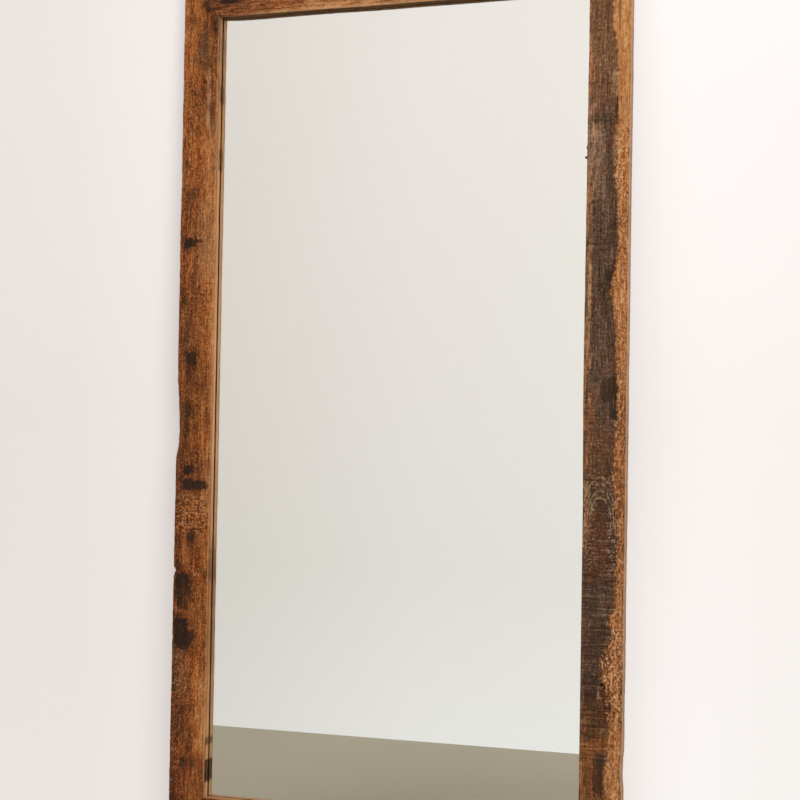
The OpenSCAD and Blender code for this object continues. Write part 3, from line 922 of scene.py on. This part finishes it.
RAW_WOOD = (
    (0.08, (0.040, 0.016, 0.007)),
    (0.30, (0.115, 0.036, 0.011)),
    (0.52, (0.235, 0.074, 0.018)),
    (0.74, (0.370, 0.140, 0.038)),
    (0.96, (0.530, 0.255, 0.095)),
)
DARK_WOOD = (
    (0.10, (0.021, 0.013, 0.009)),
    (0.38, (0.060, 0.033, 0.021)),
    (0.58, (0.110, 0.064, 0.042)),
    (0.92, (0.280, 0.178, 0.118)),
)
HONEY_WOOD = (
    (0.06, (0.105, 0.036, 0.012)),
    (0.34, (0.240, 0.096, 0.032)),
    (0.58, (0.380, 0.170, 0.061)),
    (0.94, (0.600, 0.340, 0.160)),
)
RED_WOOD = (
    (0.12, (0.060, 0.020, 0.008)),
    (0.50, (0.175, 0.064, 0.020)),
    (0.90, (0.350, 0.155, 0.052)),
)
# Colours laid over the woods.
STAIN = (0.024, 0.014, 0.009, 1)
GREYED = (0.064, 0.042, 0.022, 1)
CREVICE = (0.050, 0.018, 0.008, 1)  # dark pits
CHALK = (0.600, 0.405, 0.280, 1)  # light crumbs
# Painted light: a pale tan that lightens an outer side, as if lit from the right.
SIDE_LIGHT_TAN = (0.820, 0.560, 0.370, 1)
HOLE = (0.004, 0.002, 0.001, 1)
BARE = (0.880, 0.480, 0.235, 1)  # the worn end of the lip
REBATE = (0.860, 0.300, 0.080, 1)
PALE = (0.520, 0.310, 0.155, 1)
RUSSET = (0.80, 0.22, 0.10, 1)  # what turns the wood redder
OLIVE = (0.42, 0.46, 0.24, 1)  # and greener


def fine_grain(wood, board):
    """The finest grain, from 0 to 1: pores, fibres and specks."""
    pores = wood.noise(board, (900, 40), 4.0, 0.65)
    fibres = wood.noise(board, (330, 20), 5.0, 0.7, 0.35)
    specks = wood.noise(board, (430, 130), 2.0, 0.5, 0.7)
    return wood.blend((pores, 0.22), (fibres, 0.50), (specks, 0.28))


def swinging(wood, share, reach, mask):
    """A share turned into a change of up to reach either way, where a mask allows it."""
    return wood.times(wood.level(share, -reach, reach), wood.attribute(mask))


def lightness(wood, board, fine):
    """Where each point lies on the woods' colour ramps."""
    tone = wood.times(wood.attribute("tone"), 0.27)
    curls = wood.contrast(wood.noise(board, (110, 400), 2.0, 0.55, 1.3), 0.40, 0.60)
    saw = wood.contrast(wood.noise(board, (22, 310), 2.0, 0.5), 0.34, 0.66)
    grit = wood.contrast(wood.noise(board, (330, 250), 2.0, 0.6, 0.4), 0.36, 0.64)
    tone = wood.plus(tone, swinging(wood, curls, 0.26, "curl"))
    tone = wood.plus(tone, swinging(wood, saw, 0.22, "sawn"))
    tone = wood.plus(tone, swinging(wood, grit, 1.0, "grit"))
    grain = swinging(wood, wood.contrast(fine, 0.37, 0.63), 0.34, "grain")
    return wood.plus(wood.plus(grain, 0.49), tone)


def four_woods(wood, share, fine):
    """The raw, dark, reddened and honey woods, each where its mask puts it, and the greyed patches."""
    colour = wood.ramp(share, *RAW_WOOD)
    for mask, ramp in (("patina", DARK_WOOD), ("red", RED_WOOD), ("honey", HONEY_WOOD)):
        colour = wood.mix(wood.attribute(mask), colour, wood.ramp(share, *ramp))
    greyed = wood.times(wood.attribute("greyed"), wood.level(fine, 1.3, 0.4))
    return wood.mix(greyed, colour, GREYED)


def hues(wood, colour, share, russet, olive, redder, greener):
    """A colour turned redder where a share is high and greener where it is low."""
    high = wood.times(wood.contrast(share, *russet), redder)
    low = wood.times(wood.contrast(share, *olive), greener)
    colour = wood.mix(high, colour, RUSSET, "SOFT_LIGHT")
    return wood.mix(low, colour, OLIVE, "SOFT_LIGHT")


def drifting_hues(wood, board, colour):
    """The wood's slow and quick changes of hue."""
    quick = wood.noise(board, (110, 48), 3.0, 0.7, 0.8)
    broad = wood.noise(board, (34, 13), 3.0, 0.6, 0.8)
    both = wood.blend((quick, 0.5), (broad, 0.5))
    drift = wood.level(wood.attribute("honey"), 0.32, 0.12)
    colour = hues(wood, colour, both, (0.51, 0.64), (0.49, 0.37), drift, drift)
    tint = wood.noise(board, (270, 160), 2.0, 0.6, 0.5)
    redder = wood.level(wood.attribute("patina"), 0.26, 0.13)
    return hues(wood, colour, tint, (0.50, 0.64), (0.50, 0.36), redder, 0.28)


def crumbs_and_loops(wood, board, colour, fine):
    """Light crumbs, dark pits and the arches of growth rings."""
    crumbs = wood.noise(board, (340, 250), 2.0, 0.6, 0.6)
    light = wood.times(wood.contrast(crumbs, 0.57, 0.66), wood.attribute("crumb"))
    dark = wood.times(wood.contrast(crumbs, 0.44, 0.35), wood.attribute("crumb"))
    colour = wood.mix(wood.times(light, 0.75), colour, CHALK)
    colour = wood.mix(wood.times(dark, 0.90), colour, CREVICE)
    wave = wood.math("SINE", wood.times(wood.attribute("loop_at"), 2 * math.pi / LOOP_STEP))
    rings = wood.times(wood.contrast(wave, 0.15, 0.95), wood.attribute("loop"))
    return wood.mix(wood.times(rings, wood.level(fine, 0.05, 0.72)), colour, PALE)


def worn_and_stained(wood, colour, fine, cracks):
    """Bleached and bare wood, the rebate, painted light on the outer side, stains, cracks and the nail
    hole.
    """
    for mask, low, high, paint in (
        ("pale", 0.25, 1.25, wood.mix(wood.attribute("bare"), PALE, BARE)),
        ("seat", 1.0, 1.0, REBATE),
        ("dusty", 0.5, 1.1, SIDE_LIGHT_TAN),
        ("stain", 1.35, 0.55, STAIN),
    ):
        share = wood.times(wood.attribute(mask), wood.level(fine, low, high))
        colour = wood.mix(share, colour, paint)
    colour = wood.mix(wood.times(cracks, 0.6), colour, STAIN)
    return wood.mix(wood.contrast(wood.attribute("nail"), 3.8, 2.4), colour, HOLE)


def reclaimed_wood():
    """Old oiled hardwood: four woods mixed by the boards' masks, with fine grain from noise."""
    wood = Shader("reclaimed_wood")
    board = wood.attribute("board", "Vector")
    fine = fine_grain(wood, board)
    cracks = wood.contrast(wood.noise(board, (330, 7), 2.0, 0.5, 0.6), 0.30, 0.24)
    colour = four_woods(wood, lightness(wood, board, fine), fine)
    colour = drifting_hues(wood, board, colour)
    colour = crumbs_and_loops(wood, board, colour, fine)
    colour = worn_and_stained(wood, colour, fine, cracks)
    wood.put(Base_Color=colour, Roughness=wood.level(fine, 0.82, 0.56), Specular_IOR_Level=0.06)
    wood.bump(wood.math("SUBTRACT", fine, wood.times(cracks, 0.5)), 0.0028)
    return wood.material


def spline_wood():
    """The paler, planed wood of the mitre splines."""
    wood = Shader("spline_wood")
    grain = wood.noise(wood.place(), (300, 24), 4.0, 0.6, 0.3)
    colour = wood.ramp(grain, (0.3, (0.30, 0.17, 0.08)), (0.7, (0.50, 0.32, 0.17)))
    wood.put(Base_Color=colour, Roughness=wood.level(grain, 0.65, 0.5))
    wood.bump(grain, 0.0003)
    return wood.material


BLACKED = ((0.3, (0.045, 0.043, 0.042)), (0.7, (0.10, 0.095, 0.09)))
ZINC = ((0.3, (0.42, 0.42, 0.40)), (0.7, (0.60, 0.595, 0.56)))
RUST = (0.16, 0.06, 0.025, 1)
DULL_ZINC = (0.32, 0.29, 0.24, 1)


def steel(name, shades, rough, spots_colour):
    """Plated or blackened steel with handling marks."""
    metal = Shader(name)
    place = metal.place()
    cloudy = metal.noise(place, 55.0, 4.0, 0.6)
    scratches = metal.noise(place, (90, 1400), 3.0, 0.6)
    colour = metal.ramp(cloudy, *shades)
    spotted = metal.contrast(metal.noise(place, 240.0, 4.0, 0.65), 0.62, 0.74)
    colour = metal.mix(metal.times(spotted, 0.7), colour, spots_colour)
    both = metal.blend((cloudy, 0.5), (scratches, 0.5))
    rough = metal.level(both, rough - 0.10, rough + 0.14)
    metal.put(Base_Color=colour, Roughness=rough, Metallic=0.95)
    metal.bump(both, 0.00012)
    return metal.material


def glass():
    """Float glass with its faint green cast."""
    pane = Shader("glass")
    ripple = pane.noise(pane.place(), 3.0, 1.0, 0.4)
    tint = pane.ramp(ripple, (0.3, (0.975, 0.990, 0.978)), (0.7, (0.980, 0.992, 0.984)))
    pane.put(Base_Color=tint, Roughness=0.0, IOR=1.5, Transmission_Weight=1.0)
    return pane.material


def silvering():
    """The silver coat, seen through the glass, with a very faint mottle."""
    coat = Shader("silvering")
    cloudy = coat.noise(coat.place(), 40.0, 4.0, 0.6)
    colour = coat.ramp(cloudy, (0.3, (0.925, 0.930, 0.915)), (0.7, (0.935, 0.938, 0.925)))
    coat.put(Base_Color=colour, Metallic=1.0, Roughness=0.0)
    return coat.material


def plywood():
    """The backing board: a rotary-cut veneer with wandering rings and handling marks."""
    board = Shader("backing_board")
    place = board.place()
    waves = board.noise(place, (9, 1.4), 3.0, 0.5, 1.2)
    rings = board.math("FRACT", board.times(waves, 14.0))
    fibres = board.noise(place, (700, 16), 4.0, 0.65)
    early, late, next_ring = (0.36, 0.235, 0.125), (0.47, 0.325, 0.185), (0.33, 0.20, 0.10)
    veneer = board.ramp(rings, (0.0, early), (0.55, late), (1.0, next_ring))
    thin = board.ramp(fibres, (0.3, (0.30, 0.19, 0.10)), (0.7, (0.55, 0.40, 0.25)))
    colour = board.mix(0.55, veneer, thin)
    handled = board.contrast(board.noise(place, 4.5, 5.0, 0.6), 0.52, 0.72)
    colour = board.mix(board.times(handled, 0.30), colour, (0.20, 0.13, 0.075, 1))
    board.put(Base_Color=colour, Roughness=board.level(board.level(fibres, 0.78, 1.08), 0.62, 0.80))
    board.bump(fibres, 0.0004)
    return board.material


def felt():
    """Grey pressed felt."""
    pad = Shader("felt")
    hairs = pad.noise(pad.place(), 1300.0, 5.0, 0.7, 0.5)
    colour = pad.ramp(hairs, (0.3, (0.045, 0.045, 0.047)), (0.7, (0.13, 0.13, 0.135)))
    pad.put(Base_Color=colour, Roughness=0.95, Sheen_Weight=0.5, Sheen_Roughness=0.5)
    pad.bump(hairs, 0.0008)
    return pad.material


def rubber():
    """Black moulded rubber with dust in its pores."""
    pad = Shader("rubber")
    place = pad.place()
    pores = pad.noise(place, 900.0, 4.0, 0.6)
    dust = pad.contrast(pad.noise(place, 90.0, 4.0, 0.6), 0.50, 0.80)
    colour = pad.ramp(pores, (0.3, (0.012, 0.012, 0.013)), (0.7, (0.035, 0.034, 0.033)))
    colour = pad.mix(pad.times(dust, 0.35), colour, (0.16, 0.15, 0.135, 1))
    pad.put(Base_Color=colour, Roughness=pad.level(pores, 0.55, 0.85))
    pad.bump(pores, 0.0002)
    return pad.material


MATERIALS = {
    "reclaimed_wood": reclaimed_wood(),
    "spline_wood": spline_wood(),
    "dark_steel": steel("dark_steel", BLACKED, 0.48, RUST),
    "zinc_steel": steel("zinc_steel", ZINC, 0.36, DULL_ZINC),
    "glass": glass(),
    "silvering": silvering(),
    "backing_board": plywood(),
    "felt": felt(),
    "rubber": rubber(),
}

# ---------------------------------------------------------------- the object

BEVELS = {
    "backing_board": 0.6,
    "corner_brace": 0.35,
    "turn_button": 0.35,
    "hanger_strap": 0.30,
    "foot_pad": 0.7,
    "wall_bumper": 0.8,
    "mitre_spline": 0.3,
    "mirror_glass": 0.4,
}


def bevel(node, width):
    """Softens a CAD node's sharp edges; its own mesh stays as it is."""
    soft = node.modifiers.new("soft_edges", "BEVEL")
    soft.width = width * MM
    soft.segments = 2
    soft.limit_method = "ANGLE"
    soft.angle_limit = math.radians(40)
    soft.harden_normals = False


def node_slots():
    """Each CAD node's material slot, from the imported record."""
    return {row["node"]: row["material_slot"] for row in frame["record"]["subparts"]}


def finish_cad_nodes():
    """Gives every shown CAD node its material and its softened edges."""
    slots = node_slots()
    for name, node in frame["nodes"].items():
        node.data.materials.clear()
        node.data.materials.append(MATERIALS[slots[name]])
        for start, width in BEVELS.items():
            if name.startswith(start) and "screws" not in name and "washers" not in name:
                bevel(node, width)


SILVER_INSET = 0.1 * MM  # the coat's front lies this far inside the glass's back face
SILVER_EDGE = 0.5 * MM  # the coat stops about this far inside its rectangle
SILVER_STEPS = 40  # points along each side of the coat's outline


def trimmed_outline(half_w, half_h):
    """Points round the coat, a little inside its rectangle, in metres from its middle."""
    corners = ((-1, -1), (1, -1), (1, 1), (-1, 1))
    points = []
    for index, corner in enumerate(corners):
        following = corners[(index + 1) % 4]
        for share in run(0, 1, 1 / SILVER_STEPS):
            side = corner[0] + (following[0] - corner[0]) * share
            up = corner[1] + (following[1] - corner[1]) * share
            inset = SILVER_EDGE * (1 + 0.6 * float(noise(index, share * 17, 71)))
            points.append((side * (half_w - inset), up * (half_h - inset)))
    return points


def build_silver():
    """The reflecting coat as a thin sheet with a slightly wavy, hand-trimmed outline."""
    half_w = (SILVER_HIGH.x - SILVER_LOW.x) / 2
    half_h = (SILVER_HIGH.z - SILVER_LOW.z) / 2
    middle = (SILVER_HIGH + SILVER_LOW) / 2
    front = GLASS_HIGH.y - SILVER_INSET
    edge = trimmed_outline(half_w, half_h)
    count = len(edge)
    points = []
    for deep in (front, SILVER_HIGH.y):
        points += [(middle.x + side, deep, middle.z + up) for side, up in edge]
    faces = [tuple(range(count)), tuple(reversed(range(count, 2 * count)))]
    for index in range(count):
        following = (index + 1) % count
        faces.append((index, index + count, following + count, following))
    made = make_object("silver_coat", points, faces, MATERIALS["silvering"])
    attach(made, "frame")
    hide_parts("mirror_silvering")
    return made


finish_cad_nodes()
for board_name, board_spec in BOARDS.items():
    build_board(board_name, board_spec, MATERIALS["reclaimed_wood"])
build_silver()

# ---------------------------------------------------------------- camera

SIGHT = Vector((0, FRONT_Y, (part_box("bottom_rail")[1].z + TOP_RAIL_LOW.z) / 2))  # middle of the opening
CAMERA_FROM_SIGHT = Vector((1.0915, -3.0135, -0.0731))
CAMERA_TURN = 19.593  # degrees to the left of straight at the wall
CAMERA_TILT = 1.53  # degrees up
CAMERA_ROLL = 0.985
CAMERA_LENS = 76.36


def make_camera():
    """The camera stands to the right of the mirror and a little below its middle."""
    data = bpy.data.cameras.new("camera")
    data.lens = CAMERA_LENS
    data.sensor_width = 36
    camera = bpy.data.objects.new("camera", data)
    bpy.context.scene.collection.objects.link(camera)
    turn = Matrix.Rotation(math.radians(CAMERA_TURN), 4, "Z")
    tilt = Matrix.Rotation(math.radians(90 + CAMERA_TILT), 4, "X")
    roll = Matrix.Rotation(math.radians(CAMERA_ROLL), 4, "Z")
    camera.matrix_world = Matrix.Translation(SIGHT + CAMERA_FROM_SIGHT) @ turn @ tilt @ roll
    bpy.context.scene.camera = camera


make_camera()

# ---------------------------------------------------------------- stage

LEAN = math.radians(3)  # the mirror leans back this much; it stands upright here, so the wall leans
BUMPER_LOW, BUMPER_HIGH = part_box("wall_bumper_left")
ROOM_Y = -1.195  # the plain far wall, which only the mirror shows
ROOM_HALF = 5.0  # half the far wall's width
ROOM_HEIGHT = 4.2
STAGE_HALF = 9.0  # half the width of the floor and the near wall
WALL_HEIGHT = 4.0


def stage_material(name, colour, colour_2, scale, rough):
    """A matt stage surface with a faint mottle."""
    paint = Shader(name)
    mottle = paint.noise(paint.place(), scale, 3.0, 0.5)
    colour = paint.ramp(mottle, (0.35, colour), (0.65, colour_2))
    paint.put(Base_Color=colour, Roughness=rough, Specular_IOR_Level=0.2)
    return paint


def show_front_only(paint):
    """Makes a surface clear when it is seen from its back."""
    behind = paint.node("NewGeometry", "Backfacing")
    clear = paint.node("BsdfTransparent", "BSDF")
    either = (("Fac", behind), (1, paint.surface.outputs["BSDF"]), (2, clear))
    paint.plug(paint.node("MixShader", "Shader", either), paint.out)


# Painted light that the wall gives off itself, in ramps: from the floor up, brightest at the floor; from
# left to right, with bright bands just beside the mirror that lift its shadow on the wall; and a brighter
# patch near the floor beside the mirror's right side.
WALL_UP = (
    (0.0, (1.040, 1.000, 0.992)),
    (0.5, (0.875, 0.828, 0.820)),
    (1.0, (0.885, 0.856, 0.856)),
)
WALL_SIDEWAYS = (
    (0.09, (0.930, 0.930, 0.930)),
    (0.18, (1.035, 1.030, 1.025)),
    (0.25, (1.035, 1.030, 1.025)),
    (0.33, (0.930, 0.930, 0.930)),
    (0.60, (0.930, 0.930, 0.930)),
    (0.70, (1.090, 1.150, 1.165)),
    (0.96, (0.905, 0.960, 0.975)),
)
WALL_FOOT = (
    (0.64, (1.0, 1.0, 1.0)),
    (0.69, (1.13, 1.13, 1.14)),
    (0.73, (1.10, 1.10, 1.11)),
    (0.79, (1.0, 1.0, 1.0)),
)
# The far wall's light: from the floor up, and from left to right.
ROOM_UP = (
    (0.00, (0.850, 0.828, 0.805)),
    (0.22, (0.812, 0.776, 0.740)),
    (0.45, (0.848, 0.800, 0.765)),
    (0.90, (0.905, 0.845, 0.810)),
)
ROOM_SIDEWAYS = (
    (0.0, (0.890, 0.880, 0.860)),
    (0.45, (1.000, 1.000, 1.000)),
    (1.0, (1.060, 1.075, 1.065)),
)


def glowing_wall_material():
    """Bright white paint, drawn on the wall's front only, so that the object's back can be looked at; it
    also glows with painted light that lifts the shadows on it.
    """
    paint = stage_material("wall_paint_and_glow", (0.485, 0.458, 0.452), (0.495, 0.470, 0.464), 1.2, 0.9)
    rising = paint.ramp(paint.across("Z", 0.0, 1.7), *WALL_UP)
    sideways = paint.ramp(paint.across("X", -0.90, 1.10), *WALL_SIDEWAYS)
    foot = paint.ramp(paint.across("X", -0.90, 1.10), *WALL_FOOT)
    glow = paint.mix(1.0, rising, sideways, "MULTIPLY")
    glow = paint.mix(paint.across("Z", 0.80, 0.25), glow, foot, "MULTIPLY")
    # Painted light: the wall glows, lifting the mirror's shadow on it.
    paint.put(Emission_Color=glow, Emission_Strength=0.405)
    show_front_only(paint)
    return paint.material


def room_material():
    """A softly lit far wall: lighter to the right, to the top and just above the floor."""
    paint = Shader("room_wall")
    rising = paint.ramp(paint.across("Z", 0.0, 2.0), *ROOM_UP)
    sideways = paint.ramp(paint.across("X", -0.95, 0.35), *ROOM_SIDEWAYS)
    glow = paint.mix(1.0, rising, sideways, "MULTIPLY")
    paint.plug(paint.node("Emission", "Emission", [("Color", glow)]), paint.out)
    return paint.material


def stage_piece(name, corners, material):
    """A four-cornered sheet of the stage, which is no part of the object."""
    made = make_object(name, corners, [(0, 1, 2, 3)], material)
    return made


def make_floor():
    """A plain floor."""
    half = STAGE_HALF
    corners = [(-half, -half, 0), (half, -half, 0), (half, half, 0), (-half, half, 0)]
    paint = stage_material("floor_paint", (0.312, 0.276, 0.200), (0.326, 0.288, 0.210), 2.0, 0.6)
    stage_piece("stage_floor", corners, paint.material)


def make_wall():
    """The wall that the bumpers rest on, leaning forward by the mirror's own lean."""
    touch_z = (BUMPER_LOW.z + BUMPER_HIGH.z) / 2
    foot_y = BUMPER_HIGH.y + touch_z * math.tan(LEAN)
    top_y = foot_y - WALL_HEIGHT * math.tan(LEAN)
    corners = [(-STAGE_HALF, foot_y, 0), (STAGE_HALF, foot_y, 0)]
    corners += [(STAGE_HALF, top_y, WALL_HEIGHT), (-STAGE_HALF, top_y, WALL_HEIGHT)]
    wall = stage_piece("stage_wall", corners, glowing_wall_material())
    wall.visible_shadow = False


def make_room():
    """A wall in front of the mirror that only reflections show."""
    corners = [(ROOM_HALF, ROOM_Y, 0), (-ROOM_HALF, ROOM_Y, 0)]
    corners += [(-ROOM_HALF, ROOM_Y, ROOM_HEIGHT), (ROOM_HALF, ROOM_Y, ROOM_HEIGHT)]
    room = stage_piece("stage_room", corners, room_material())
    room.visible_camera = False
    room.visible_diffuse = False
    room.visible_shadow = False


def area_light(name, place, aim, size, power, colour):
    """A soft rectangular light that reflections don't show."""
    data = bpy.data.lights.new(name, "AREA")
    data.shape = "SQUARE"
    data.size = size
    data.energy = power
    data.color = colour
    lamp = bpy.data.objects.new(name, data)
    lamp.location = place
    lamp.rotation_euler = (Vector(aim) - Vector(place)).to_track_quat("-Z", "Y").to_euler()
    lamp.visible_glossy = False
    lamp.visible_transmission = False
    bpy.context.scene.collection.objects.link(lamp)


def make_lights():
    """Soft daylight from the front and right, a weak fill from the left, and light for the back."""
    area_light("key", (2.1, -3.4, 2.2), (0, 0, 0.9), 2.2, 140, (1.0, 0.99, 0.975))
    area_light("fill", (-2.6, -3.0, 1.6), (0, 0, 0.8), 2.6, 26, (1.0, 0.98, 0.97))
    area_light("rear", (-1.4, 3.4, 2.6), (0, 0, 0.8), 2.4, 70, (1.0, 0.99, 0.97))
    world = bpy.data.worlds.new("soft_daylight")
    world.use_nodes = True
    world.node_tree.nodes["Background"].inputs["Color"].default_value = (1.0, 0.99, 0.985, 1)
    world.node_tree.nodes["Background"].inputs["Strength"].default_value = 0.47
    bpy.context.scene.world = world


make_floor()
make_wall()
make_room()
make_lights()
bpy.context.scene.view_settings.view_transform = "Standard"
